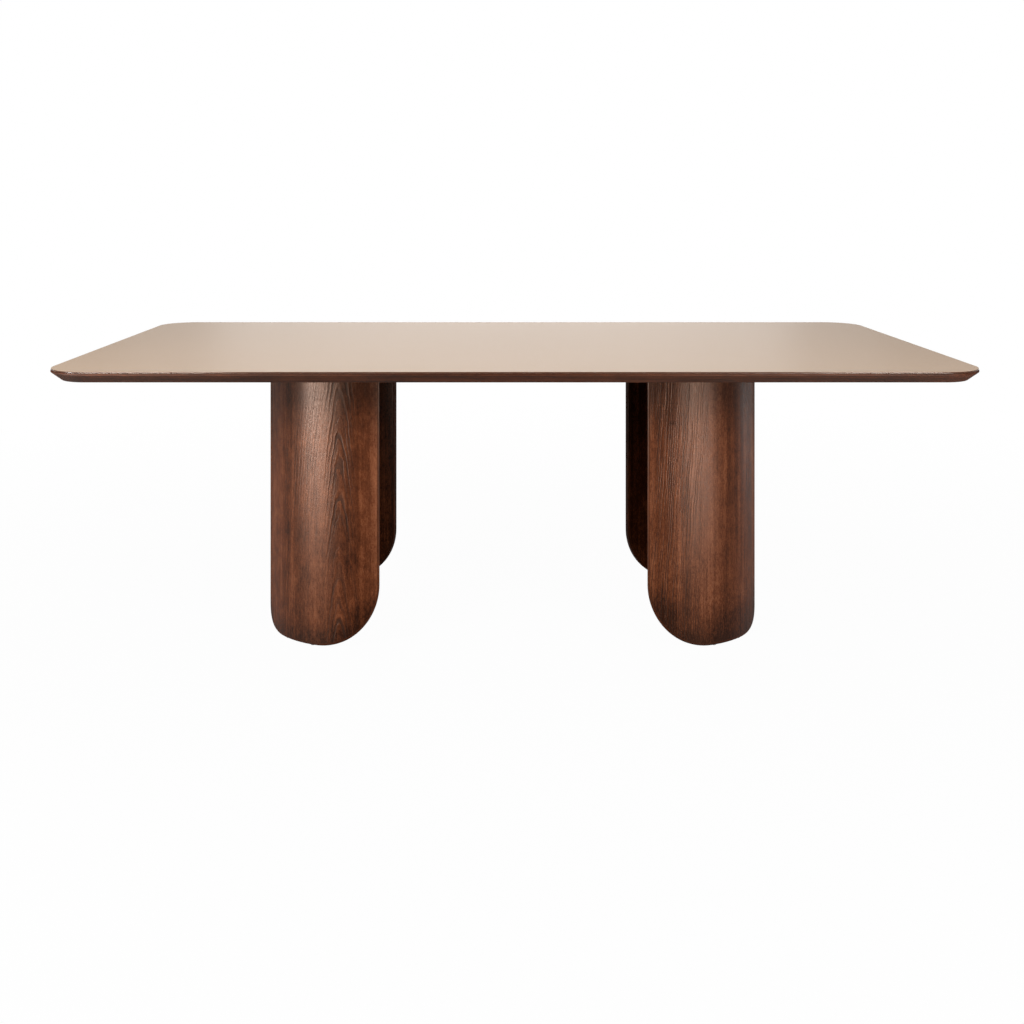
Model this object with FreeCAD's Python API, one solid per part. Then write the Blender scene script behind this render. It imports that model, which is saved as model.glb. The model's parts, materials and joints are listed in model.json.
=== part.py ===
import FreeCAD, Part
import math
import os
from FreeCAD import Vector

# Dining table: a glass-topped board with a bevelled wooden edge on four bent wooden panels.
# Millimetres. Length along X, depth along Y with the front towards -Y, Z up, floor at Z = 0,
# origin on the floor under the middle of the top.

# Overall
table_length = 2200.0
table_depth = 1100.0
table_height = 740.0
cut_overrun = 5.0              # how far every cutting body runs past what it cuts
flat_clearance = 0.5           # spare depth at the end of a groove or slot
thread_clearance = 0.05        # radial room round a thread or pin in its hole
same_place = 0.01              # points nearer than this are taken as one

# Glass sheet and what holds it down
top_corner_radius = 100.0
glass_thickness = 4.0
glass_reveal = 1.0             # how far the glass stays inside the wooden edge
glass_arris = 0.8
bond_thickness = 0.5
pad_length = 120.0
pad_width = 25.0
pad_columns = 5
pad_rows = 3
pad_spread_share = 0.82        # how much of the core panel the pads spread over

# Boards under the glass
core_thickness = 18.0
backer_thickness = 5.5
rail_width = 70.0
fascia_height = 4.0
bevel_inset = 25.0
tongue_thickness = 5.0
tongue_width = 24.0
tongue_stop = 60.0             # how far a tongue ends before the core panel's corner
spline_length = 34.0
spline_start = 4.0             # from the inner corner, along the mitre
stiffener_width = 30.0
stiffener_height = 12.0
stiffener_wall = 1.5
stiffener_end_margin = 130.0   # from the core panel's end to the stiffener's end
stiffener_leg_gap = 70.0       # from the front or rear of the legs to the stiffener's middle

# Bent leg panels
panel_radius = 235.0           # outside of the bend
panel_thickness = 20.0
panel_half_sweep = 55.0        # degrees each side of the panel's middle
panel_turn = 35.0              # degrees that the middle is turned outwards from straight ahead
panel_corner_radius = 155.0    # rounding of the two bottom corners
panel_axis_x = 420.0
panel_axis_y = 40.0
veneer_thickness = 0.7
lipping_thickness = 7.0
lipping_rounding = 4.0
rounding_wall_share = 0.9      # the most of the lipping, or of half the panel, that a rounding takes

# Fixing blocks and fasteners
block_height = 55.0
block_depth = 40.0
block_half_sweep = 45.0        # degrees
bolt_angle = 25.0              # degrees between neighbouring bolts
bolt_radius = 4.0
bolt_hole_radius = 4.5
bolt_head_flats = 13.0
bolt_head_height = 5.3
bolt_engagement = 14.0         # how far the bolt reaches into its insert
counterbore_radius = 11.0
counterbore_depth = 20.0
washer_radius = 8.0
washer_thickness = 1.6
insert_radius = 6.0
insert_length = 18.0
screw_radius = 2.0
screw_head_radius = 4.0
screw_head_height = 2.4
screw_tip_length = 4.0
screw_length = 50.0
screw_recess = 1.0             # how deep a screw head sits below the block's hollow face
screw_angles = (-37.5, -12.5, 12.5, 37.5)

# Floor glides
glide_thickness = 2.0
glide_radius = 5.5
glide_pin_radius = 1.5
glide_pin_length = 16.0
glide_angle = 11.0             # degrees each side of the panel's middle

# Heights and sizes that follow
board_thickness = core_thickness + backer_thickness
glass_bottom = table_height - glass_thickness
board_top = glass_bottom - bond_thickness
core_bottom = board_top - core_thickness
underside = board_top - board_thickness
fascia_bottom = board_top - fascia_height
bolt_head_corner = bolt_head_flats / math.sqrt(3)
core_length = table_length - 2 * rail_width
core_depth = table_depth - 2 * rail_width
stiffener_length = core_length - 2 * stiffener_end_margin
stiffener_offset = panel_axis_y + panel_radius + stiffener_leg_gap
tongue_bottom = core_bottom + (core_thickness - tongue_thickness) / 2
panel_inside = panel_radius - panel_thickness
panel_foot = glide_thickness
block_bottom = underside - block_height
block_inside = panel_inside - block_depth
screw_start = block_inside + screw_recess
screw_level = underside - block_height / 2
block_middle = panel_inside - block_depth / 2
up = Vector(0, 0, 1)
outward = Vector(1, 0, 0)      # from the bend's axis to the middle of the panel
centre = Vector(0, 0, 0)


def save(name, solids):
    # One file for each piece, or for each set of identical fasteners.
    shape = solids[0] if len(solids) == 1 else Part.makeCompound(solids)
    shape.exportStep("parts/" + name + ".step")
    print(name, len(shape.Solids), round(shape.Volume), shape.isValid())


def box(length, depth, height, x, y, z):
    # A block whose middle is at x and y and whose bottom is at z.
    return Part.makeBox(length, depth, height, Vector(x - length / 2, y - depth / 2, z))


def rod(radius, bottom, top, x=0.0, y=0.0):
    return Part.makeCylinder(radius, top - bottom, Vector(x, y, bottom))


def rounded_outline(length, depth, radius, z):
    # A rectangle with round corners, run round anticlockwise from the right-hand side.
    half_x = length / 2 - radius
    half_y = depth / 2 - radius
    edges = []
    last = None
    for quarter, (side, end) in enumerate(((1, 1), (-1, 1), (-1, -1), (1, -1))):
        points = []
        for step in (0, 1, 2):
            angle = math.radians(90 * quarter + 45 * step)
            points.append(Vector(side * half_x + radius * math.cos(angle),
                                 end * half_y + radius * math.sin(angle), z))
        if last:
            edges.append(Part.LineSegment(last, points[0]).toShape())
        else:
            first = points[0]
        edges.append(Part.Arc(*points).toShape())
        last = points[2]
    edges.append(Part.LineSegment(last, first).toShape())
    return Part.Wire(edges)


# Top

def glass_sheet():
    wire = rounded_outline(table_length - 2 * glass_reveal, table_depth - 2 * glass_reveal,
                           top_corner_radius - glass_reveal, glass_bottom)
    sheet = Part.Face(wire).extrude(up * glass_thickness)
    arrises = [edge for edge in sheet.Edges if abs(edge.tangentAt(edge.FirstParameter).z) < 0.5]
    return sheet.makeChamfer(glass_arris, arrises)


def bond_pads():
    pads = []
    for column in range(pad_columns):
        for row in range(pad_rows):
            x = core_length * pad_spread_share * (column / (pad_columns - 1) - 0.5)
            y = core_depth * pad_spread_share * (row / (pad_rows - 1) - 0.5)
            pads.append(box(pad_length, pad_width, bond_thickness, x, y, board_top))
    return pads


def edge_frame():
    # Upright face over an undercut bevel, right round, with the core panel's place left out.
    upper = rounded_outline(table_length, table_depth, top_corner_radius, fascia_bottom)
    lower = rounded_outline(table_length - 2 * bevel_inset, table_depth - 2 * bevel_inset,
                            top_corner_radius - bevel_inset, underside)
    fascia = Part.Face(upper).extrude(up * fascia_height)
    bevel = Part.makeLoft([lower, upper], True, True)
    opening = box(core_length, core_depth, board_thickness + 2 * cut_overrun,
                  0, 0, underside - cut_overrun)
    return fascia.fuse(bevel).removeSplitter().cut(opening)


def mitre_wedge(axis, sign):
    # The part of the frame between two mitres, on the side that axis and sign name.
    near_x, near_y = core_length / 2, core_depth / 2
    reach = rail_width + cut_overrun
    if axis == "y":
        corners = [(-near_x, sign * near_y), (near_x, sign * near_y),
                   (near_x + reach, sign * (near_y + reach)),
                   (-near_x - reach, sign * (near_y + reach))]
    else:
        corners = [(sign * near_x, -near_y), (sign * near_x, near_y),
                   (sign * (near_x + reach), near_y + reach),
                   (sign * (near_x + reach), -near_y - reach)]
    points = [Vector(x, y, underside - cut_overrun) for x, y in corners]
    face = Part.Face(Part.makePolygon(points + points[:1]))
    return face.extrude(up * (board_thickness + 2 * cut_overrun))


def tongues(spare):
    # Loose tongues in the joint between the core panel and each rail.
    width = tongue_width + 2 * spare
    run_x = core_length - 2 * tongue_stop + 2 * spare
    run_y = core_depth - 2 * tongue_stop + 2 * spare
    pieces = []
    for sign in (-1, 1):
        pieces.append(box(run_x, width, tongue_thickness, 0, sign * core_depth / 2, tongue_bottom))
        pieces.append(box(width, run_y, tongue_thickness, sign * core_length / 2, 0, tongue_bottom))
    return pieces


def splines(spare):
    # One flat spline across each mitre.
    pieces = []
    for side in (-1, 1):
        for end in (-1, 1):
            piece = Part.makeBox(spline_length + 2 * spare, tongue_width + 2 * spare, tongue_thickness,
                                 Vector(spline_start - spare, -tongue_width / 2 - spare, tongue_bottom))
            piece.rotate(centre, up, math.degrees(math.atan2(end, side)))
            piece.translate(Vector(side * core_length / 2, end * core_depth / 2, 0))
            pieces.append(piece)
    return pieces


def stiffener(sign):
    y = sign * stiffener_offset
    tube = box(stiffener_length, stiffener_width, stiffener_height, 0, y, core_bottom)
    bore = box(stiffener_length + 2 * cut_overrun, stiffener_width - 2 * stiffener_wall,
               stiffener_height - 2 * stiffener_wall, 0, y, core_bottom + stiffener_wall)
    return tube.cut(bore)


# Legs, made about the upright axis of the bend with the panel's middle towards +X

def ring(inside, outside, bottom, top):
    shape = rod(outside, bottom, top).cut(rod(inside, bottom, top))
    shape.rotate(centre, up, 180)
    return shape


def side_limit(sign, inset, top):
    # Keeps what lies inside one upright edge, its rounded bottom corner and the bottom line.
    angle = math.radians(sign * panel_half_sweep)
    along = Vector(math.cos(angle), math.sin(angle), 0)
    inward = Vector(math.sin(angle), -math.cos(angle), 0) * sign
    reach = panel_radius + 2 * cut_overrun
    round_height = panel_foot + panel_corner_radius
    round_size = panel_corner_radius - inset

    def point(distance, height):
        return inward * distance + up * height - along * reach

    slant = round_size * math.sqrt(0.5)
    corner = [point(inset, top), point(inset, round_height),
              point(panel_corner_radius - slant, round_height - slant),
              point(panel_corner_radius, round_height - round_size),
              point(2 * reach, round_height - round_size), point(2 * reach, top)]
    edges = [Part.LineSegment(corner[0], corner[1]).toShape(),
             Part.Arc(corner[1], corner[2], corner[3]).toShape(),
             Part.LineSegment(corner[3], corner[4]).toShape(),
             Part.LineSegment(corner[4], corner[5]).toShape(),
             Part.LineSegment(corner[5], corner[0]).toShape()]
    return Part.Face(Part.Wire(edges)).extrude(along * 2 * reach)


def tongue_panel(inset, inside, outside, top):
    # A stretch of bent wall with its two bottom corners rounded.
    wall = ring(inside, outside, panel_foot, top)
    return wall.common(side_limit(1, inset, top)).common(side_limit(-1, inset, top))


def lipping():
    blank = tongue_panel(0, panel_inside, panel_radius, underside)
    rounding = min(lipping_rounding, rounding_wall_share * lipping_thickness,
                   rounding_wall_share * panel_thickness / 2)
    arrises = []
    for edge in blank.Edges:
        first, last = edge.ParameterRange
        points = [edge.valueAt(first + share * (last - first)) for share in (0.1, 0.5, 0.9)]
        radii = [math.hypot(point.x, point.y) for point in points]
        at_top = all(abs(point.z - underside) < same_place for point in points)
        on_one_face = max(radii) - min(radii) < same_place
        if on_one_face and not at_top:
            arrises.append(edge)
    eased = blank.makeFillet(rounding, arrises)
    filling = tongue_panel(lipping_thickness, panel_inside - cut_overrun,
                           panel_radius + cut_overrun, underside + cut_overrun)
    return eased.cut(filling)


def at_angle(shape, angle):
    turned = shape.copy()
    turned.rotate(centre, up, angle)
    return turned


def bolt_places():
    return [bolt_angle * step for step in (-1, 0, 1)]


def bolt():
    # Hexagon head under the washer, shank up into the insert.
    head_top = block_bottom + counterbore_depth - washer_thickness
    head_bottom = head_top - bolt_head_height
    corners = [Vector(bolt_head_corner * math.cos(math.radians(60 * corner)),
                      bolt_head_corner * math.sin(math.radians(60 * corner)), head_bottom)
               for corner in range(7)]
    head = Part.Face(Part.makePolygon(corners)).extrude(up * bolt_head_height)
    shank = rod(bolt_radius - thread_clearance, head_bottom, underside + bolt_engagement)
    return head.fuse(shank)


def washer():
    top = block_bottom + counterbore_depth
    return rod(washer_radius, top - washer_thickness, top).cut(
        rod(bolt_hole_radius, top - washer_thickness - cut_overrun, top + cut_overrun))


def insert():
    return rod(insert_radius, underside, underside + insert_length).cut(
        rod(bolt_radius, underside - cut_overrun, underside + insert_length + cut_overrun))


def on_bolt_circle(shape):
    moved = shape.copy()
    moved.translate(outward * block_middle)
    return [at_angle(moved, angle) for angle in bolt_places()]


def bar(radius, start, end):
    # A cylinder that runs outwards at the screws' height.
    return Part.makeCylinder(radius, end - start, outward * start + up * screw_level, outward)


def taper(start_radius, end_radius, start, end):
    return Part.makeCone(start_radius, end_radius, end - start, outward * start + up * screw_level, outward)


def screws():
    # Countersunk screws, from the block's hollow face into the panel.
    neck = screw_start + screw_head_height
    tip = screw_start + screw_length - screw_tip_length
    head = taper(screw_head_radius, screw_radius, screw_start, neck)
    point = taper(screw_radius, 0, tip, tip + screw_tip_length)
    whole = head.fuse(bar(screw_radius, neck, tip)).fuse(point)
    return [at_angle(whole, angle) for angle in screw_angles]


def screw_holes():
    neck = screw_start + screw_head_height
    seat = taper(screw_head_radius + thread_clearance, screw_radius + thread_clearance, screw_start, neck)
    mouth = bar(screw_head_radius + thread_clearance, screw_start - screw_recess - cut_overrun, screw_start)
    bore = bar(screw_radius + thread_clearance, neck, screw_start + screw_length + flat_clearance)
    return [at_angle(mouth.fuse(seat).fuse(bore), angle) for angle in screw_angles]


def fixing_block():
    sector = ring(block_inside, panel_inside, block_bottom, underside)
    for sign in (1, -1):
        angle = math.radians(sign * block_half_sweep)
        beyond = Vector(-math.sin(angle), math.cos(angle), 0) * sign
        along = Vector(math.cos(angle), math.sin(angle), 0)
        reach = panel_radius + cut_overrun
        points = [along * reach, along * reach + beyond * 2 * reach,
                  beyond * 2 * reach - along * reach, along * -reach]
        lift = up * (block_bottom - cut_overrun)
        face = Part.Face(Part.makePolygon([point + lift for point in points + points[:1]]))
        sector = sector.cut(face.extrude(up * (block_height + 2 * cut_overrun)))
    holes = on_bolt_circle(rod(bolt_hole_radius, block_bottom, underside + cut_overrun))
    holes += on_bolt_circle(rod(counterbore_radius, block_bottom - cut_overrun,
                                block_bottom + counterbore_depth))
    for hole in holes + screw_holes():
        sector = sector.cut(hole)
    return sector


def glides(spare):
    # A disc on the floor with a pin up into the panel.
    middle = (panel_radius + panel_inside) / 2
    pieces = []
    for sign in (-1, 1):
        pin = rod(glide_pin_radius + spare, glide_thickness / 2, glide_thickness + glide_pin_length + spare)
        piece = pin if spare else pin.fuse(rod(glide_radius, 0, glide_thickness))
        piece.translate(outward * middle)
        pieces.append(at_angle(piece, sign * glide_angle))
    return pieces


def place_leg(shape, side, end):
    # side is -1 left or 1 right, end is -1 front or 1 rear.
    turn = math.radians(panel_turn)
    placed = shape.copy()
    placed.rotate(centre, up, math.degrees(math.atan2(end * math.cos(turn), side * math.sin(turn))))
    placed.translate(Vector(side * panel_axis_x, end * panel_axis_y, 0))
    return placed


legs = {"front_left": (-1, -1), "front_right": (1, -1), "rear_left": (-1, 1), "rear_right": (1, 1)}


def for_each_leg(shapes):
    return [place_leg(shape, side, end) for side, end in legs.values() for shape in shapes]


# Leg pieces, one of each, before they are placed

glide_holes = glides(thread_clearance)
bored = screw_holes() + glide_holes
leg_core = tongue_panel(lipping_thickness, panel_inside + veneer_thickness,
                        panel_radius - veneer_thickness, underside)
inner_veneer = tongue_panel(lipping_thickness, panel_inside, panel_inside + veneer_thickness, underside)
outer_veneer = tongue_panel(lipping_thickness, panel_radius - veneer_thickness, panel_radius, underside)
edge_lipping = lipping()
for hole in bored:
    leg_core = leg_core.cut(hole)
    inner_veneer = inner_veneer.cut(hole)
for hole in glide_holes:
    edge_lipping = edge_lipping.cut(hole)
leg_pieces = {"core": leg_core, "inner_veneer": inner_veneer, "outer_veneer": outer_veneer,
              "lipping": edge_lipping, "fixing_block": fixing_block()}
for leg, (side, end) in legs.items():
    for piece, shape in leg_pieces.items():
        save(leg + "_" + piece, [place_leg(shape, side, end)])

# Fasteners and glides

inserts = for_each_leg(on_bolt_circle(insert()))
save("threaded_inserts", inserts)
save("leg_bolts", for_each_leg(on_bolt_circle(bolt())))
save("bolt_washers", for_each_leg(on_bolt_circle(washer())))
save("block_screws", for_each_leg(screws()))
save("floor_glides", for_each_leg(glides(0.0)))

# Boards

insert_holes = for_each_leg(on_bolt_circle(rod(insert_radius, underside - cut_overrun,
                                               underside + insert_length)))
core_panel = box(core_length, core_depth, core_thickness, 0, 0, core_bottom)
backer_panel = box(core_length, core_depth, backer_thickness, 0, 0, underside)
for sign in (-1, 1):
    save("rear_stiffener" if sign > 0 else "front_stiffener", [stiffener(sign)])
    core_panel = core_panel.cut(box(stiffener_length + 2 * flat_clearance, stiffener_width,
                                    stiffener_height, 0, sign * stiffener_offset, core_bottom))
for hole in insert_holes:
    core_panel = core_panel.cut(hole)
    backer_panel = backer_panel.cut(hole)
for groove in tongues(flat_clearance):
    core_panel = core_panel.cut(groove)
save("core_panel", [core_panel])
save("backer_panel", [backer_panel])

frame = edge_frame()
slots = tongues(flat_clearance) + splines(flat_clearance)
for name, axis, sign in (("front", "y", -1), ("rear", "y", 1), ("left", "x", -1), ("right", "x", 1)):
    rail = frame.common(mitre_wedge(axis, sign))
    for slot in slots:
        rail = rail.cut(slot)
    save(name + "_edge_rail", [rail])
save("edge_tongues", tongues(0.0))
save("mitre_splines", splines(0.0))

# Glass

save("glass_bond_pads", bond_pads())
save("top_glass", [glass_sheet()])
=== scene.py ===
# Dining table: a painted glass top with a bevelled wooden edge on four bent wooden leg panels.
# Metres, floor at z = 0, the front towards -y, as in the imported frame.
import json
import bpy
import numpy as np
from math import atan2, cos, pi, radians, sin
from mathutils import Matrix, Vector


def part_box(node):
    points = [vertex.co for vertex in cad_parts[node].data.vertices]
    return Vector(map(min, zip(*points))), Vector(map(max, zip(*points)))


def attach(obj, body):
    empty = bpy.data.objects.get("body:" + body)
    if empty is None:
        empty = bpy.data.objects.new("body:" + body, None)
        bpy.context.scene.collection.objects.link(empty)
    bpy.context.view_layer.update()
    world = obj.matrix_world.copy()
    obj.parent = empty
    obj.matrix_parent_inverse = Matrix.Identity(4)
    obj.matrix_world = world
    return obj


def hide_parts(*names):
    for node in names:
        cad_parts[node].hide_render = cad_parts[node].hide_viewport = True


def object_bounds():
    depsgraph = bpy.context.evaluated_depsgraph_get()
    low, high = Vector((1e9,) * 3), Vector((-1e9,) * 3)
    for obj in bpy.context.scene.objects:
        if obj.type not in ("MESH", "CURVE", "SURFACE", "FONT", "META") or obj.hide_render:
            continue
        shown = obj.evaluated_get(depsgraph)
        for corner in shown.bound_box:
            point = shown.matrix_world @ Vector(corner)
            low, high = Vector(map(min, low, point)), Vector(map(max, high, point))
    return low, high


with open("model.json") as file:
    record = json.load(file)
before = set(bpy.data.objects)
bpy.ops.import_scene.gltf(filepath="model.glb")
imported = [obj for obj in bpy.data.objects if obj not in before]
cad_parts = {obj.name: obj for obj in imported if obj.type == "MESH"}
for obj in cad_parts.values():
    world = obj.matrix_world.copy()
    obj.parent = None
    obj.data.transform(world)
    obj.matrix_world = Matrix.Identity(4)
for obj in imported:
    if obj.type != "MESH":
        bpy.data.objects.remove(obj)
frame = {"nodes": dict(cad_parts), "record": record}
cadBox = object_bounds()
print("frame loaded:", len(frame["nodes"]), "nodes")

# Levels that every piece is set to
glassLow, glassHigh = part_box("top_glass")
railLow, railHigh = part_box("front_edge_rail")
underside = railLow.z
boardTop = railHigh.z
halfLength = cadBox[1].x
halfDepth = cadBox[1].y
legNames = {"front_left": (-1, -1), "front_right": (1, -1), "rear_left": (-1, 1), "rear_right": (1, 1)}


# Mesh helpers

hold = 0.00008              # how far beyond an eased corner a point holds the flat
sharpFrom = radians(28)     # faces that meet at more than this get a sharp edge


def easedSection(corners, radii, steps):
    # Polygon whose corners are rounded: at each corner an arc tangent to both sides, where the
    # tangent points lie radius / tan(half the inside angle) from the corner. A point just beyond
    # each tangent point holds the flat beside it flat in the smooth shading.
    points = []
    corners = np.array(corners, float)
    for index, (corner, radius) in enumerate(zip(corners, radii)):
        if radius <= 0:
            points.append(corner[None])
            continue
        before = corners[index - 1] - corner
        after = corners[(index + 1) % len(corners)] - corner
        before, after = before / np.linalg.norm(before), after / np.linalg.norm(after)
        inside = np.arccos(np.clip(before @ after, -1, 1))
        inwards = (before + after) / np.linalg.norm(before + after)
        middle = corner + inwards * radius / np.sin(inside / 2)
        first = corner + before * radius / np.tan(inside / 2) - middle
        last = corner + after * radius / np.tan(inside / 2) - middle
        turn = pi - inside
        share = np.linspace(0, 1, steps + 1)[:, None]
        arc = (np.sin((1 - share) * turn) * first + np.sin(share * turn) * last) / np.sin(turn)
        start, finish = middle + first + before * hold, middle + last + after * hold
        points.append(np.vstack([start, middle + arc, finish]))
    return np.concatenate(points)


def runningLength(points):
    # Distance travelled along a row of points, from 0 at the first.
    steps = np.linalg.norm(np.diff(points, axis=0), axis=1)
    return np.concatenate([[0], np.cumsum(steps)])


def gridFaces(rows, columns):
    # Quads of a grid of points, whose last column joins the first.
    row = np.arange(rows - 1)[:, None]
    column = np.arange(columns)[None, :]
    beside = (column + 1) % columns
    corners = [row * columns + column, row * columns + beside,
               (row + 1) * columns + beside, (row + 1) * columns + column]
    return np.stack(corners, -1).reshape(-1, 4)


def signedVolume(points, faces):
    # Sum over fan triangles of the box product of their corners, over six.
    total = 0.0
    for face in faces:
        corner = points[face]
        total += np.einsum("ij,ij->i", np.cross(corner[1:-1], corner[2:]),
                           np.broadcast_to(corner[0], corner[2:].shape)).sum()
    return total / 6


def makePiece(name, points, faces, grain, material, nodes):
    # One mesh object on the root body, standing for CAD nodes. grain holds one (across, along)
    # pair for each face corner, in metres.
    mesh = bpy.data.meshes.new(name)
    faces = [np.asarray(face) for face in faces]
    if signedVolume(points, faces) < 0:
        faces = [face[::-1] for face in faces]
        grain = [pairs[::-1] for pairs in grain]
    mesh.from_pydata(points.tolist(), [], [face.tolist() for face in faces])
    layer = mesh.uv_layers.new(name="grain")
    layer.uv.foreach_set("vector", np.concatenate(grain).astype(np.float32).ravel())
    mesh.shade_smooth()
    mesh.set_sharp_from_angle(angle=sharpFrom)
    mesh.materials.append(material)
    mesh.validate()
    piece = bpy.data.objects.new(name, mesh)
    bpy.context.scene.collection.objects.link(piece)
    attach(piece, "root")
    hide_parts(*nodes)
    return piece


def carriedProfile(points, across, along, unrolled=True):
    # Faces and grain pairs of a closed profile carried along an open path: points is
    # (path, profile, 3), across and along are the grain coordinates at each of them. Unrolled, the
    # grain runs on round the profile and each end is laid flat in its own plane; otherwise the
    # edges and ends carry on the grain of the faces, as on a sheet.
    rows, columns = points.shape[:2]
    faces = list(gridFaces(rows, columns))
    pairs = np.stack([across, along], -1)
    closing = pairs[:, :1].copy()
    if unrolled:
        closing[..., 0] = across.max()
    wide = np.concatenate([pairs, closing], 1)
    row, column = np.divmod(np.arange(len(faces)), columns)
    grain = list(np.stack([wide[row, column], wide[row, column + 1],
                           wide[row + 1, column + 1], wide[row + 1, column]], 1))
    for end in (0, rows - 1):
        cap, flat = np.arange(columns) + end * columns, pairs[end]
        if unrolled:
            spread = points[end] - points[end].mean(0)
            flat = spread @ np.linalg.svd(spread)[2][:2].T
        faces.append(cap if end else cap[::-1])
        grain.append(flat if end else flat[::-1])
    return points.reshape(-1, 3), faces, grain


print("helpers ready")


# Node helpers

noiseLow, noiseHigh = 0.3, 0.7      # what a noise seldom leaves


class Graph:
    # A material's node tree, with short calls that return output sockets.
    def __init__(self, name):
        self.material = bpy.data.materials.new(name)
        self.material.use_nodes = True
        self.tree = self.material.node_tree
        self.tree.nodes.clear()

    def node(self, kind, inputs=None, **settings):
        made = self.tree.nodes.new("ShaderNode" + kind)
        for key, value in settings.items():
            setattr(made, key, value)
        for key, value in (inputs or {}).items():
            if isinstance(value, bpy.types.NodeSocket):
                self.tree.links.new(value, made.inputs[key])
            else:
                made.inputs[key].default_value = value
        return made

    def math(self, operation, *values):
        return self.node("Math", dict(enumerate(values)), operation=operation).outputs[0]

    def vector(self, x=0.0, y=0.0, z=0.0):
        return self.node("CombineXYZ", {0: x, 1: y, 2: z}).outputs[0]

    def noise(self, vector, scale=1.0, detail=2.0, roughness=0.5):
        made = self.node("TexNoise", {"Vector": vector, "Scale": scale, "Detail": detail,
                                      "Roughness": roughness})
        return made.outputs["Fac"]

    def ramp(self, value, stops):
        # Stops are (place, grey) or (place, colour), from low to high.
        made = self.node("ValToRGB", {0: value})
        made.color_ramp.elements.remove(made.color_ramp.elements[1])
        for index, (place, colour) in enumerate(stops):
            if index:
                stop = made.color_ramp.elements.new(place)
            else:
                stop = made.color_ramp.elements[0]
                stop.position = place
            stop.color = (*colour, 1) if hasattr(colour, "__len__") else (colour,) * 3 + (1,)
        return made.outputs[0]

    def mix(self, share, first, second):
        # Colour that goes from first to second as share goes from 0 to 1.
        made = self.node("Mix", data_type="RGBA")
        for key, value in ((0, share), (6, first), (7, second)):
            if isinstance(value, bpy.types.NodeSocket):
                self.tree.links.new(value, made.inputs[key])
            elif key:
                made.inputs[key].default_value = (*value, 1)
            else:
                made.inputs[key].default_value = value
        return made.outputs[2]

    def range(self, value, low, high, start=0.0, end=1.0):
        return self.node("MapRange", {0: value, 1: low, 2: high, 3: start, 4: end}).outputs[0]

    def fade(self, value, centre, near, far):
        # 1 where |value - centre| is under near, 0 beyond far.
        away = self.math("ABSOLUTE", self.math("SUBTRACT", value, centre))
        return self.range(away, near, far, 1.0, 0.0)

    def hypotenuse(self, first, second):
        # sqrt(first^2 + second^2)
        squares = self.math("MULTIPLY", first, first), self.math("MULTIPLY", second, second)
        return self.math("SQRT", self.math("ADD", *squares))

    def stretched(self, place, stretch, detail=2.0):
        # Noise whose grains are 1 / stretch long along each axis.
        scaled = self.node("VectorMath", {0: place, 1: stretch}, operation="MULTIPLY").outputs[0]
        return self.noise(scaled, detail=detail)

    def total(self, first, *others):
        # The first value plus each other part times its share.
        for part, share in others:
            first = self.math("ADD", first, self.math("MULTIPLY", part, share))
        return first

    def bump(self, strength, distance, height):
        made = self.node("Bump", {"Strength": strength, "Distance": distance, "Height": height})
        return made.outputs[0]

    def unevenShine(self, pattern, look):
        # Roughness that follows a pattern of noise, which stays near its middle, by look["shine"]
        # either way.
        low, high = look["roughness"] - look["shine"], look["roughness"] + look["shine"]
        return self.range(pattern, noiseLow, noiseHigh, low, high)

    def finish(self, shader):
        self.node("OutputMaterial", {0: shader})
        return self.material


# Stained oak veneer and solid wood

# Noise in the wood: grains per metre across and along, detail, roughness, and a shift of its own
grains = dict(wander=(1.5, 2.2, 1.0, 0.5, 3.1), waver=(16.0, 4.0, 3.0, 0.5, 7.7),
              ragged=(60.0, 22.0, 2.0, 0.5, 8.4), bands=(17.0, 0.9, 1.0, 0.5, 11.0),
              flecks=(300.0, 85.0, 2.0, 0.6, 9.0), specks=(420.0, 260.0, 2.0, 0.7, 1.0),
              fibres=(150.0, 3.0, 3.0, 0.6, 4.0), long=(46.0, 1.4, 2.0, 0.5, 5.0),
              mottle=(44.0, 20.0, 4.0, 0.65, 6.0), cloud=(14.0, 6.0, 2.0, 0.5, 2.0))
# One ring from 0 to 1: where its dark pores and its pale ridge stand, how rings crowd and break off
rings = dict(groove=[(0.0, 1.0), (0.22, 0.85), (0.4, 0.0), (0.94, 0.0), (1.0, 1.0)],
             ridge=[(0.3, 0.0), (0.46, 1.0), (0.66, 0.0)], crowdEvery=0.4, crowding=2.0,
             crowdPlace=(0.5, 2.0), core=0.35, bandFrom=0.02, bandTo=0.12, breaksPerMetre=7.0,
             breakEvery=0.77, breakPlace=5.0, breakFrom=0.36, breakTo=0.56, broken=0.08)
# How high each part of the wood stands, in shares of the relief's distance in metres
relief = dict(distance=0.0007, specks=0.35, groove=-0.7, ridge=0.4, pores=-0.3)
# What makes the lacquer duller
dulling = dict(stain=0.2, flecks=0.3, grazing=0.65, grazingPower=2.5)
# Where the stain's middle tone lies, which flecks are pores, the heights of the painted shade at
# the foot and near the floor, and the core share of a painted light patch
stainAndPaintedLight = dict(middle=0.45, poreFrom=0.1, poreTo=0.22, footHeight=0.06, nearFloorShadeFrom=0.03, nearFloorShadeTo=0.17,
              patchCore=0.4)


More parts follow.
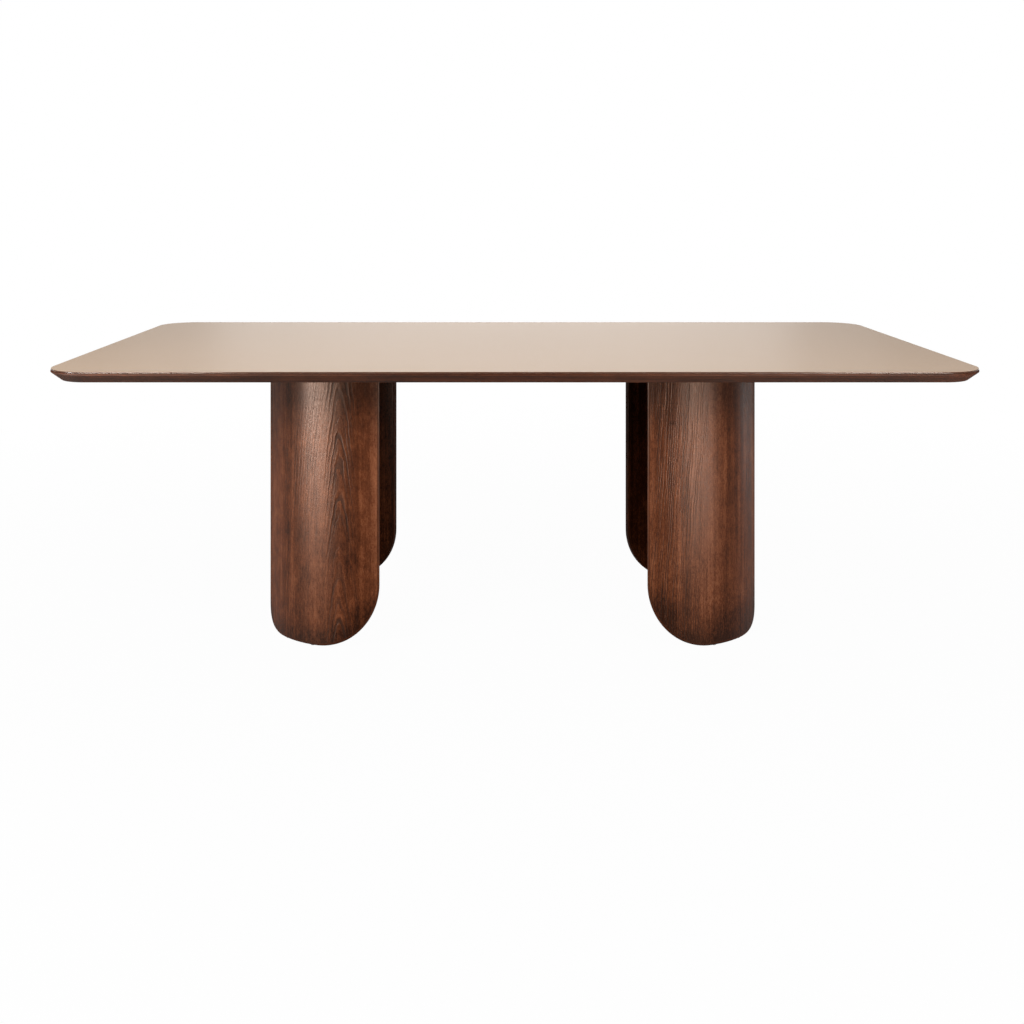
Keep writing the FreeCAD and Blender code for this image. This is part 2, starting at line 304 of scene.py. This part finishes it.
def growthRings(g, look, across, along, streak):
    # Rings are the level lines of  sqrt(side^2 + depth^2) + lean * along,  which are nested pointed
    # arches in the middle of a leaf and nearly straight beside it. Gives how much of the dark pore
    # row and of the pale ridge shows at a place, and how near it is to the arches.
    side = g.math("SUBTRACT", across, look["archPlace"])
    side = g.total(side, (streak("wander"), look["wander"]))
    rho = g.total(g.hypotenuse(side, look["archDepth"]), (along, look["lean"]),
                  (streak("waver"), look["waver"]), (streak("ragged"), look["ragged"]))
    ring = g.math("DIVIDE", rho, look["ringWidth"])
    crowd = g.noise(g.vector(g.math("MULTIPLY", ring, rings["crowdEvery"]), *rings["crowdPlace"]))
    ring = g.total(ring, (crowd, rings["crowding"]))
    phase = g.math("FRACT", ring)
    zoneMiddle = look["zonePlace"] - look["archPlace"]
    nearArch = g.fade(side, zoneMiddle, look["zone"] * rings["core"], look["zone"])
    bands = g.range(streak("bands"), rings["bandFrom"], rings["bandTo"])
    shown = g.math("MAXIMUM", nearArch, g.math("MULTIPLY", bands, look["bandShare"]))
    each = g.vector(g.math("FLOOR", ring), g.math("MULTIPLY", along, rings["breaksPerMetre"]),
                    rings["breakPlace"])
    unbroken = g.range(g.noise(each, rings["breakEvery"], detail=1.0), rings["breakFrom"],
                       rings["breakTo"], rings["broken"], 1.0)
    shown = g.math("MULTIPLY", shown, unbroken)
    return (g.math("MULTIPLY", g.ramp(phase, rings["groove"]), shown),
            g.math("MULTIPLY", g.ramp(phase, rings["ridge"]), shown), nearArch)


def paintedFootShade(g, look, across, along):
    # Painted shade round the foot, darker near the floor: from 0 to 1 as  sqrt(over^2 + under^2),
    # measured from the middle of the rounded corner, comes up to the outline's radius.
    straight = g.math("SUBTRACT", g.math("ABSOLUTE", across), look["footStraight"])
    over = g.math("MAXIMUM", straight, 0.0)
    under = g.math("MAXIMUM", g.math("SUBTRACT", look["footRadius"], along), 0.0)
    inside = look["footRadius"] - look["footFade"]
    shade = g.range(g.hypotenuse(over, under), inside, look["footRadius"])
    return g.math("MULTIPLY", shade, g.range(under, 0.0, stainAndPaintedLight["footHeight"]))


def paintedLightPatch(g, look, across, along):
    # Painted light, a paler patch where light falls: full in its middle, gone where |across - x| or
    # |along - z| is its half size.
    (x, z), (wide, tall) = look["pale"]
    beside = g.fade(across, x, wide * stainAndPaintedLight["patchCore"], wide)
    return g.math("MULTIPLY", beside, g.fade(along, z, tall * stainAndPaintedLight["patchCore"], tall))


def stainedOak(name, look, boardAxes=None):
    # Growth rings show near the arches and in a few straight bands; elsewhere the surface is noise
    # stretched along the grain: long bands, mottle and short flecks. The stain's tone is the sum of
    # these, each times its share, and the rings' pores are darker still. boardAxes names the
    # object's (across, along) axes where a piece has no grain map.
    g = Graph(name)
    if boardAxes:
        parts = g.node("SeparateXYZ", {0: g.node("TexCoord").outputs["Object"]})
        across, along = parts.outputs[boardAxes[0]], parts.outputs[boardAxes[1]]
    else:
        parts = g.node("SeparateXYZ", {0: g.node("UVMap", uv_map="grain").outputs[0]})
        across, along = parts.outputs[0], parts.outputs[1]

    def streak(kind):
        # Noise about 0 whose grains follow the wood.
        wide, high, detail, roughness, shift = grains[kind]
        place = g.vector(g.math("MULTIPLY", across, wide), g.math("MULTIPLY", along, high),
                         shift + look["leaf"])
        return g.math("SUBTRACT", g.noise(place, detail=detail, roughness=roughness), 0.5)

    groove, ridge, nearArch = growthRings(g, look, across, along, streak)
    flecks, specks = streak("flecks"), streak("specks")
    shades = [(streak(kind), look[kind]) for kind in ("fibres", "long", "mottle", "cloud")]
    shades += [(flecks, look["flecks"]), (specks, look["specks"]), (ridge, look["ridge"]),
               (nearArch, look["zoneTone"])]
    # Painted shade round the foot, and a painted light patch where light falls on the panel
    if "footShadeStrength" in look:
        shades.append((paintedFootShade(g, look, across, along), -look["footShadeStrength"]))
    if "pale" in look:
        shades.append((paintedLightPatch(g, look, across, along), look["paleTone"]))
    tone = g.total(look["tone"], *shades)
    oak = g.ramp(tone, [(0.0, look["dark"]), (stainAndPaintedLight["middle"], look["middle"]), (1.0, look["light"])])
    pores = g.range(flecks, stainAndPaintedLight["poreFrom"], stainAndPaintedLight["poreTo"])
    pores = g.math("MULTIPLY", pores, look["poreShare"])
    stain = g.math("MAXIMUM", g.math("MULTIPLY", groove, look["lineShare"]), pores)
    colour = g.mix(stain, oak, look["pore"])
    if "nearFloorShade" in look:
        # Painted shade: darker near the floor.
        high = g.node("SeparateXYZ", {0: g.node("TexCoord").outputs["Object"]}).outputs[2]
        low = g.range(high, stainAndPaintedLight["nearFloorShadeFrom"], stainAndPaintedLight["nearFloorShadeTo"], look["nearFloorShade"], 0.0)
        colour = g.mix(low, colour, look["dark"])
    height = g.total(g.math("MULTIPLY", flecks, look["fleckRelief"]), (specks, relief["specks"]),
                     (groove, relief["groove"]), (ridge, relief["ridge"]), (pores, relief["pores"]))
    # Seen along the surface the open pores scatter more, so the shine goes dull at a low angle.
    facing = g.node("LayerWeight", {"Blend": 0.5}).outputs["Facing"]
    rough = g.total(look["roughness"], (stain, dulling["stain"]), (flecks, dulling["flecks"]),
                    (g.math("POWER", facing, dulling["grazingPower"]), dulling["grazing"]))
    shader = g.node("BsdfPrincipled", {"Base Color": colour, "Roughness": rough,
                                       "Normal": g.bump(look["bump"], relief["distance"], height),
                                       "Specular IOR Level": look["specular"],
                                       "Specular Tint": (*look["lacquer"], 1)})
    return g.finish(shader.outputs[0])


# Shares of each noise in the stain's tone, places and sizes in metres along the grain map
wood = dict(dark=(0.018, 0.0042, 0.0014), middle=(0.095, 0.0255, 0.0090), light=(0.25, 0.084, 0.036),
            pore=(0.008, 0.0022, 0.0010), lineShare=0.80, poreShare=0.35, tone=0.45, fibres=0.50,
            long=0.85, mottle=0.95, cloud=0.45, flecks=0.70, specks=0.60, fleckRelief=0.48,
            ridge=0.14, wander=0.030, waver=0.008, ragged=0.007,
            archPlace=0.122, archDepth=0.018, lean=0.115, ringWidth=0.0078,
            zonePlace=0.122, zone=0.050, zoneTone=-0.07, bandShare=0.5, roughness=0.34, specular=0.07,
            lacquer=(1.0, 0.66, 0.50), bump=0.65, leaf=0.0)
straight = dict(wood, archPlace=-0.4, lean=0.05, ringWidth=0.0065, zonePlace=-0.4, bandShare=1.0,
                fibres=0.75, long=0.9, mottle=0.65, flecks=0.95, specks=0.75)
# Painted shade round each foot: the outline's corner radius and straight part, how far the shade fades
# in and how dark it is
foot = dict(footRadius=0.157, footStraight=0.066, footFade=0.065, footShadeStrength=0.42)
deepFootShade = dict(foot, footFade=0.12, footShadeStrength=0.50)
# Painted light: each front panel gets a paler patch where light falls, the left one at its inner edge
# and the right one low in its shine
frontLeft = dict(wood, pale=((0.205, 0.38), (0.034, 0.21)), paleTone=0.19, **foot)
frontRight = dict(straight, leaf=13.0, zonePlace=0.150, zone=0.090, zoneTone=-0.03,
                  pale=((0.100, 0.15), (0.075, 0.22)), paleTone=0.08, **deepFootShade)
rearLeft = dict(wood, archPlace=-0.05, zonePlace=-0.05, leaf=27.0, **foot)
rearRight = dict(wood, archPlace=0.08, zonePlace=0.08, leaf=41.0, **foot)
legVeneers = {"front_left": stainedOak("frontLeftVeneer", frontLeft),
              "front_right": stainedOak("frontRightVeneer", frontRight),
              "rear_left": stainedOak("rearLeftVeneer", rearLeft),
              "rear_right": stainedOak("rearRightVeneer", rearRight)}
# Painted shade: the panels' inner faces get a darker copy of the stain, as they stand in shade.
shadedInnerVeneer = stainedOak("shadedInnerVeneer", dict(straight, tone=0.10, bandShare=0.4, specular=0.01))
narrow = dict(straight, mottle=0.35, flecks=0.4, specks=0.25, bump=0.2)
railWood = stainedOak("railWood", dict(narrow, tone=0.24, roughness=0.60, specular=0.075,
                                       lacquer=(1.0, 0.86, 0.76)))
# The lipping gets painted shade near the floor.
lipping = dict(narrow, tone=0.34, bandShare=0.2, nearFloorShade=0.7)
frontLipping = stainedOak("frontLipping", lipping)
# Painted shade: the rear panels' lipping is a darker copy of the front one, with less shine.
shadedRearLipping = stainedOak("shadedRearLipping", dict(lipping, tone=0.14, specular=0.02))
print("wood ready")


# Painted glass

glass = dict(cornerRadius=0.100, reveal=0.001, arris=0.0008, edgeSteps=4, cornerSteps=20,
             borderWidth=0.020, paint=(0.40, 0.28, 0.188), edge=(0.075, 0.030, 0.018), roughness=0.42,
             edgeRoughness=0.20, shine=0.02, specular=0.08, edgeBelow=0.35, paintAbove=0.8, clouds=2.2,
             cloudShade=0.015, tints=14.0, tintShade=0.2, specks=900.0, waves=300.0,
             waveStrength=0.02, waveDepth=0.0002)


def shaded(colour, change):
    # The colour a little darker or paler: each part times (1 + change).
    return tuple(part * (1 + change) for part in colour)


def paintedGlass(name, look):
    # The sheet shows the paint under it through its satin top; its polished edge is clear and shows
    # the dark rail. The edge is where the surface stands upright: the normal's z is near 0. Slow
    # noise makes clouds in the paint, fine noise makes the satin's shine uneven.
    g = Graph(name)
    place = g.node("TexCoord").outputs["Object"]
    normal = g.node("SeparateXYZ", {0: g.node("NewGeometry").outputs["True Normal"]})
    level = g.math("ABSOLUTE", normal.outputs[2])
    edge = g.range(level, look["edgeBelow"], look["paintAbove"], 1.0, 0.0)
    paint = g.mix(g.noise(place, look["clouds"]), shaded(look["paint"], -look["cloudShade"]),
                  shaded(look["paint"], look["cloudShade"]))
    tint = g.mix(g.noise(place, look["tints"], detail=3.0), shaded(look["edge"], -look["tintShade"]),
                 shaded(look["edge"], look["tintShade"]))
    satin = g.unevenShine(g.noise(place, look["specks"], detail=1.0), look)
    rough = g.total(satin, (edge, look["edgeRoughness"] - look["roughness"]))
    waves = g.bump(look["waveStrength"], look["waveDepth"], g.noise(place, look["waves"]))
    shader = g.node("BsdfPrincipled", {"Base Color": g.mix(edge, paint, tint), "Roughness": rough,
                                       "Normal": waves, "Specular IOR Level": look["specular"]})
    return g.finish(shader.outputs[0])


def roundedRectangle(halfX, halfY, radius, steps):
    # Corner centres plus radius times (cos, sin), a quarter turn at each corner.
    quarters = [np.linspace(quarter, quarter + 1, steps + 1) for quarter in range(4)]
    turn = np.concatenate(quarters) * pi / 2
    side = np.repeat([(1, 1), (-1, 1), (-1, -1), (1, -1)], steps + 1, axis=0)
    return np.stack([side[:, 0] * (halfX - radius) + radius * np.cos(turn),
                     side[:, 1] * (halfY - radius) + radius * np.sin(turn)], -1)


def makeGlassTop():
    # One section, from the border below round the eased edge to the border above, as rings.
    halfX, halfY = halfLength - glass["reveal"], halfDepth - glass["reveal"]
    radius = glass["cornerRadius"] - glass["reveal"]
    low, high, border = glassLow.z, glassHigh.z, glass["borderWidth"]
    section = easedSection([(border, low), (0, low), (0, high), (border, high)],
                           [0, glass["arris"], glass["arris"], 0], glass["edgeSteps"])
    levels = []
    for inset, z in section:
        ring = roundedRectangle(halfX - inset, halfY - inset, radius - inset, glass["cornerSteps"])
        levels.append(np.column_stack([ring, np.full(len(ring), z)]))
    count = len(levels[0])
    points = np.concatenate(levels)
    under, over = np.arange(count)[::-1], np.arange(count) + len(points) - count
    faces = list(gridFaces(len(levels), count)) + [under, over]
    grain = [points[face][:, :2] for face in faces]
    return makePiece("glassTop", points, faces, grain, paintedGlass("paintedGlass", glass),
                     ["top_glass"])


makeGlassTop()
print("glass ready")


# Edge rails

rail = dict(width=0.070, fasciaHeight=0.004, bevelInset=0.025, easing=0.0006, cornerSteps=12,
            easingSteps=4)


def railPoints(half, depth, section):
    # Local (along, outward) places: each profile point stays inset from the outline, straight in
    # the middle and round a corner of 45 degrees at each end; the profile's inner points follow
    # the straight inner edge to the mitre.
    radius = glass["cornerRadius"]
    turn = np.linspace(0, pi / 4, rail["cornerSteps"] + 1)
    side = np.repeat([-1, 1], len(turn))
    turn = np.concatenate([-turn[::-1], turn])
    inset, height = section[:, 0][None], section[:, 1][None]
    along = side[:, None] * (half - radius) + (radius - inset) * np.sin(turn)[:, None]
    outward = depth - radius + (radius - inset) * np.cos(turn)[:, None]
    inner = np.isclose(inset, rail["width"])
    mitred = side[:, None] * (half - radius) + (radius - rail["width"]) * np.tan(turn)[:, None]
    along = np.where(inner, mitred, along)
    outward = np.where(inner, depth - rail["width"], outward)
    return along, outward, np.broadcast_to(height, along.shape)


def makeRail(name, half, depth, turn, node):
    # Fascia above, bevel below, turned about the upright axis. The turn also shifts the grain, so
    # that no two rails are alike.
    fasciaLow = boardTop - rail["fasciaHeight"]
    corners = [(rail["width"], underside), (rail["bevelInset"], underside), (0, fasciaLow),
               (0, boardTop), (rail["width"], boardTop)]
    easing = rail["easing"]
    section = easedSection(corners, [0, easing, easing, easing, 0], rail["easingSteps"])
    along, outward, height = railPoints(half, depth, section)
    points = np.stack([along * cos(turn) + outward * sin(turn),
                       along * sin(turn) - outward * cos(turn), height], -1)
    across = np.broadcast_to(runningLength(section)[None] + turn, along.shape)
    points, faces, grain = carriedProfile(points, across, along)
    return makePiece(name, points, faces, grain, railWood, [node])


for quarter, place in enumerate(("front", "right", "rear", "left")):
    half, depth = (halfDepth, halfLength) if quarter % 2 else (halfLength, halfDepth)
    makeRail(place + "Rail", half, depth, quarter * pi / 2, place + "_edge_rail")
print("rails ready")


# Leg panels

# The last three values keep the grain of the pieces apart
panel = dict(radius=0.235, thickness=0.020, halfSweep=radians(55), turn=radians(35),
             cornerRadius=0.155, axisX=0.420, axisY=0.040, foot=0.002, veneer=0.0007, lipping=0.007,
             rounding=0.004, cornerSteps=28, middleSteps=36, roundingSteps=6, innerShift=5.0,
             innerStep=0.3, lippingStep=0.11)


def placeLeg(points, side, end):
    # The panel's middle is turned outwards from straight ahead, about an upright axis.
    turn = atan2(end * cos(panel["turn"]), side * sin(panel["turn"]))
    x, y, z = points[..., 0], points[..., 1], points[..., 2]
    return np.stack([x * cos(turn) - y * sin(turn) + side * panel["axisX"],
                     x * sin(turn) + y * cos(turn) + end * panel["axisY"], z], -1)


def footLine(inset, radius):
    # The panel's lower outline from one side to the other: an arc in (distance from the side,
    # height) at each corner and a level stretch between. Gives angle from the middle and height.
    corner = panel["cornerRadius"]
    turn = np.linspace(0, pi / 2, panel["cornerSteps"] + 1)
    distance = corner - (corner - inset) * np.cos(turn)
    height = panel["foot"] + corner - (corner - inset) * np.sin(turn)
    angle = panel["halfSweep"] - np.arcsin(distance / radius)
    level = np.linspace(angle[-1], -angle[-1], panel["middleSteps"] + 1)[1:-1]
    return (np.concatenate([angle, level, -angle[::-1]]),
            np.concatenate([height, np.full(len(level), height[-1]), height[::-1]]))


def onCylinder(angle, radius, height):
    # radius * (cos, sin) and the height.
    return np.stack([radius * np.cos(angle), radius * np.sin(angle), height], -1)


def makeVeneer(name, side, end, near, far, veneer, node, shift):
    # A thin shell between two radii, with columns upright from the foot line to the underside.
    columns = []
    for radius in (near, far):
        angle, height = footLine(panel["lipping"], radius)
        columns.append((angle, radius, height))
    loop = [(columns[1], False), (columns[1], True), (columns[0], True), (columns[0], False)]
    points, along = [], []
    for (angle, radius, height), top in loop:
        z = np.full(len(angle), underside) if top else height
        points.append(onCylinder(angle, radius, z))
        along.append(z)
    points = placeLeg(np.stack(points, 1), side, end)
    along = np.stack(along, 1)
    across = np.stack([columns[1][0] * panel["radius"] * side * end] * 4, 1)
    points, faces, grain = carriedProfile(points, across + shift, along, unrolled=False)
    return makePiece(name, points, faces, grain, veneer, [node])


def makeLipping(name, side, end, node, shift):
    # The rounded section carried down one side, round the foot and up the other.
    outer, inner = panel["radius"], panel["radius"] - panel["thickness"]
    corners = [(panel["lipping"], outer), (0, outer), (0, inner), (panel["lipping"], inner)]
    rounding = panel["rounding"]
    section = easedSection(corners, [0, rounding, rounding, 0], panel["roundingSteps"])
    rows = []
    for inset, radius in section:
        angle, height = footLine(inset, radius)
        angle = np.concatenate([angle[:1], angle, angle[-1:]])
        height = np.concatenate([[underside], height, [underside]])
        rows.append(onCylinder(angle, radius, height))
    local = np.stack(rows, 1)
    path = runningLength(local[:, 0])
    points = placeLeg(local, side, end)
    across = np.broadcast_to(runningLength(section)[None], points.shape[:2]) + shift
    along = np.broadcast_to(path[:, None], points.shape[:2])
    points, faces, grain = carriedProfile(points, across, along)
    # The rear panels take the lipping with painted shade.
    oak = frontLipping if end < 0 else shadedRearLipping
    return makePiece(name, points, faces, grain, oak, [node])


for index, (leg, (side, end)) in enumerate(legNames.items()):
    inner, outer = panel["radius"] - panel["thickness"], panel["radius"]
    makeVeneer(leg + "OuterVeneer", side, end, outer - panel["veneer"], outer, legVeneers[leg],
               leg + "_outer_veneer", 0)
    makeVeneer(leg + "InnerVeneer", side, end, inner + panel["veneer"], inner, shadedInnerVeneer,
               leg + "_inner_veneer", panel["innerStep"] * index + panel["innerShift"])
    makeLipping(leg + "Lipping", side, end, leg + "_lipping", panel["lippingStep"] * index)
print("legs ready")


# Camera, lights and floor

# The photograph's size, focal length, optical centre and horizon are in its own pixels
photo = dict(size=1024, focal=1199.0, opticalX=496.6, horizonY=197.0, sensor=36.0,
             place=(-0.043, -3.308, 1.1425))


def makeCamera():
    # Level camera; the lens is shifted by the optical centre's distance from the frame's middle.
    data = bpy.data.cameras.new("camera")
    data.sensor_width = photo["sensor"]
    data.lens = photo["focal"] / photo["size"] * photo["sensor"]
    data.shift_x = 0.5 - photo["opticalX"] / photo["size"]
    data.shift_y = photo["horizonY"] / photo["size"] - 0.5
    camera = bpy.data.objects.new("camera", data)
    camera.location = photo["place"]
    camera.rotation_euler = (pi / 2, 0, 0)
    bpy.context.scene.collection.objects.link(camera)
    bpy.context.scene.camera = camera


def makeLamp(name, target, azimuth, elevation, distance, size, power, lights, colour):
    # Azimuth runs from the front (-y) towards +x. lights is "matte" for the even light that the
    # colours get and "gloss" for what only the shine of a surface shows, as a studio strip does.
    data = bpy.data.lights.new(name, "AREA")
    data.shape = "RECTANGLE"
    data.size, data.size_y = size
    data.energy = power
    data.color = colour
    lamp = bpy.data.objects.new(name, data)
    across, up = radians(azimuth), radians(elevation)
    away = np.array([sin(across) * cos(up), -cos(across) * cos(up), sin(up)])
    lamp.location = np.array(target) + away * distance
    lamp.rotation_euler = (pi / 2 - up, 0, across)
    lamp.visible_camera = False
    lamp.visible_diffuse = lights == "matte"
    lamp.visible_glossy = lights == "gloss"
    bpy.context.scene.collection.objects.link(lamp)
    return lamp


def seenRays(tree):
    # 1 for the rays that show the surroundings: straight, in gloss and through glass.
    path = tree.nodes.new("ShaderNodeLightPath")
    rays = [path.outputs[name] for name in ("Is Camera Ray", "Is Glossy Ray", "Is Transmission Ray")]
    seen = rays[0]
    for ray in rays[1:]:
        either = tree.nodes.new("ShaderNodeMath")
        either.operation = "MAXIMUM"
        tree.links.new(seen, either.inputs[0])
        tree.links.new(ray, either.inputs[1])
        seen = either.outputs[0]
    return seen


studio = dict(fill=0.03, floorHalf=30.0, floorGrey=(0.45, 0.45, 0.45, 1), shadowNear=1.2,
              shadowFar=3.5, whiteShare=0.975)


def makeWorld():
    # White to the eye, and only a weak fill for the light that falls on the table.
    world = bpy.data.worlds.new("studio")
    bpy.context.scene.world = world
    world.use_nodes = True
    tree = world.node_tree
    tree.nodes.clear()
    mixed = tree.nodes.new("ShaderNodeMixShader")
    tree.links.new(seenRays(tree), mixed.inputs[0])
    for index, strength in ((1, studio["fill"]), (2, 1.0)):
        background = tree.nodes.new("ShaderNodeBackground")
        background.inputs[0].default_value = (1, 1, 1, 1)
        background.inputs[1].default_value = strength
        tree.links.new(background.outputs[0], mixed.inputs[index])
    out = tree.nodes.new("ShaderNodeOutputWorld")
    tree.links.new(mixed.outputs[0], out.inputs[0])


def makeFloor():
    # A large level sheet that is white to the eye apart from the share that takes the shadow, which
    # fades out with the distance from the table.
    half = studio["floorHalf"]
    corners = [(-half, -half, 0), (half, -half, 0), (half, half, 0), (-half, half, 0)]
    mesh = bpy.data.meshes.new("floor")
    mesh.from_pydata(corners, [], [(0, 1, 2, 3)])
    g = Graph("paleFloor")
    place = g.node("TexCoord").outputs["Object"]
    far = g.node("VectorMath", {0: place}, operation="LENGTH").outputs["Value"]
    plain = g.range(far, studio["shadowNear"], studio["shadowFar"], studio["whiteShare"], 1.0)
    matte = g.node("BsdfDiffuse", {"Color": studio["floorGrey"]}).outputs[0]
    white = g.node("Emission", {"Color": (1, 1, 1, 1), "Strength": 1.0}).outputs[0]
    share = g.math("MULTIPLY", seenRays(g.tree), plain)
    mesh.materials.append(g.finish(g.node("MixShader", {0: share, 1: matte, 2: white}).outputs[0]))
    floor = bpy.data.objects.new("floor", mesh)
    bpy.context.scene.collection.objects.link(floor)


# Where the lamps point, and their two colours
table, boardMiddle, topMiddle, rearMiddle = (0, -0.2, 0.45), (0, 0, 0.7), (0, 0, 0.75), (0, 0, 0.6)
leftEdge, leftLeg, rightLeg = (-0.5, -0.25, 0.30), (-0.5, -0.25, 0.25), (0.5, -0.25, 0.26)
rimLeft, rimRight = (-0.88, -0.55, 0.74), (0.90, -0.55, 0.74)
white, cream = (1, 1, 1), (1.0, 0.89, 0.78)

# Name, target, azimuth, elevation, distance, (width, height), power, what it lights, colour
lamps = [("leftKey", table, -47, 22, 3.2, (1.2, 0.9), 86, "matte", white),
         ("rightKey", table, 40, 22, 3.2, (1.2, 0.9), 70, "matte", white),
         ("overhead", boardMiddle, 0, 89, 2.4, (1.8, 1.8), 27, "matte", white),
         ("rearKey", rearMiddle, 180, 14, 3.5, (2.8, 1.6), 60, "matte", white),
         ("leftEdgeStrip", leftEdge, -56, 0, 1.7, (0.30, 0.50), 106, "gloss", white),
         ("leftStrip", leftLeg, -38, 0, 1.7, (0.34, 0.50), 77, "gloss", white),
         ("rightStrip", rightLeg, 42, 0, 1.1, (0.33, 0.46), 24, "gloss", white),
         ("rightInnerStrip", rightLeg, 19, 0, 1.1, (0.30, 0.46), 37, "gloss", white),
         ("rightRearStrip", rightLeg, 126, 0, 1.7, (0.30, 0.40), 4, "gloss", white),
         ("leftRimLight", rimLeft, -15.8, -8.3, 1.3, (0.46, 0.12), 22, "gloss", cream),
         ("rightRimLight", rimRight, 17.5, -8.3, 1.3, (0.42, 0.12), 20, "gloss", cream),
         ("narrowRearSheet", topMiddle, 180, 10.5, 4.3, (2.2, 0.9), 16, "gloss", white),
         ("rearSheet", topMiddle, 180, 10.5, 4.3, (3.6, 0.9), 24, "gloss", white),
         ("wideRearSheet", topMiddle, 180, 10.5, 4.3, (4.8, 0.9), 10, "gloss", white)]

makeCamera()
makeWorld()
makeFloor()
for lamp in lamps:
    makeLamp(*lamp)
bpy.context.scene.view_settings.view_transform = "Standard"
print("stage ready")


# Finishes of the pieces inside and underneath, which keep the CAD's own shapes

def plainFinish(g, look, shade, shine, raised, metallic=0.0):
    # The colour goes from dark to pale between two places of shade, the roughness follows shine,
    # and raised is the bump's height.
    darkTo, paleFrom = look["stops"]
    colour = g.ramp(shade, [(darkTo, look["dark"]), (paleFrom, look["pale"])])
    shader = g.node("BsdfPrincipled", {"Base Color": colour, "Metallic": metallic,
                                       "Roughness": g.unevenShine(shine, look),
                                       "Normal": g.bump(look["relief"], look["depth"], raised)})
    return g.finish(shader.outputs[0])


def blended(g, first, second, share):
    # share * first + (1 - share) * second
    return g.total(g.math("MULTIPLY", first, share), (second, 1 - share))


def zincPlate(name, look):
    # Plated steel: short brushed streaks along x are noise stretched 40 to 1, and slow patches of
    # noise shift the grey a little and make the plating duller or brighter.
    g = Graph(name)
    place = g.node("TexCoord").outputs["Object"]
    streaks = g.stretched(place, look["brush"])
    patches = g.noise(place, look["patches"], detail=3.0)
    shade = blended(g, streaks, patches, look["brushShare"])
    return plainFinish(g, look, shade, shade, streaks, metallic=1.0)


def mouldedPlastic(name, look):
    # Spark-eroded grain: noise 0.4 mm wide raised as bump, with slow scuffs that are paler.
    g = Graph(name)
    place = g.node("TexCoord").outputs["Object"]
    grain = g.noise(place, look["grain"])
    scuffs = g.noise(place, look["scuffs"], detail=3.0)
    return plainFinish(g, look, scuffs, grain, grain)


def pressedBoard(name, look):
    # Chips: Voronoi cells 3 mm wide, each with a shade of its own, under noise as fine as fibres.
    g = Graph(name)
    place = g.node("TexCoord").outputs["Object"]
    chips = g.node("TexVoronoi", {"Vector": place, "Scale": look["chips"]}).outputs["Color"]
    chip = g.node("SeparateXYZ", {0: chips}).outputs[0]
    fibre = g.noise(place, look["fibres"], detail=3.0)
    shade = blended(g, chip, fibre, look["chipShare"])
    return plainFinish(g, look, shade, fibre, shade)


def rawSheets(name, look):
    # Unstained sheets with upright grain: noise stretched along z for fibres, and again, wider,
    # for the bands between early and late wood.
    g = Graph(name)
    place = g.node("TexCoord").outputs["Object"]
    fibres = g.stretched(place, look["fibres"], detail=3.0)
    bands = g.stretched(place, look["bands"])
    shade = blended(g, fibres, bands, look["fibreShare"])
    return plainFinish(g, look, shade, fibres, fibres)


steel = dict(dark=(0.36, 0.37, 0.38), pale=(0.62, 0.62, 0.61), stops=(0.25, 0.75), roughness=0.35,
             shine=0.07, brush=(60.0, 2400.0, 2400.0), patches=90.0, brushShare=0.5, relief=0.15,
             depth=0.0001)
glide = dict(dark=(0.020, 0.015, 0.012), pale=(0.055, 0.045, 0.038), stops=(0.35, 0.8),
             roughness=0.5, shine=0.05, grain=2500.0, scuffs=120.0, relief=0.3, depth=0.0001)
padFoam = dict(glide, dark=(0.030, 0.030, 0.031), pale=(0.070, 0.070, 0.070), roughness=0.85)
board = dict(dark=(0.30, 0.20, 0.115), pale=(0.56, 0.42, 0.27), stops=(0.1, 0.9), roughness=0.75,
             shine=0.04, chips=330.0, fibres=900.0, chipShare=0.6, relief=0.4, depth=0.0003)
sheets = dict(dark=(0.36, 0.23, 0.125), pale=(0.60, 0.43, 0.26), stops=(0.25, 0.75),
              roughness=0.65, shine=0.05, fibres=(900.0, 900.0, 18.0), bands=(120.0, 120.0, 3.0),
              fibreShare=0.4, relief=0.3, depth=0.0002)
hiddenWood = dict(wood, archPlace=0.0, zonePlace=0.0, lean=0.02, tone=0.34, roughness=0.45,
                  bump=0.4)
finishOf = {"stained_wood": stainedOak("undersideOak", hiddenWood, ("Y", "X")),
            "raw_timber": stainedOak("blockOak", dict(hiddenWood, lean=0.01, tone=0.30), ("Y", "X")),
            "steel": zincPlate("zincSteel", steel),
            "glide_plastic": mouldedPlastic("glidePlastic", glide),
            "bond_pad": mouldedPlastic("foamPad", padFoam),
            "core_board": pressedBoard("pressedBoard", board),
            "laminated_core": rawSheets("rawSheets", sheets)}
slotOf = {piece["node"]: piece["material_slot"] for piece in frame["record"]["subparts"]}
for node, thing in frame["nodes"].items():
    if slotOf[node] in finishOf:
        thing.data.materials.clear()
        thing.data.materials.append(finishOf[slotOf[node]])
print("finishes ready")
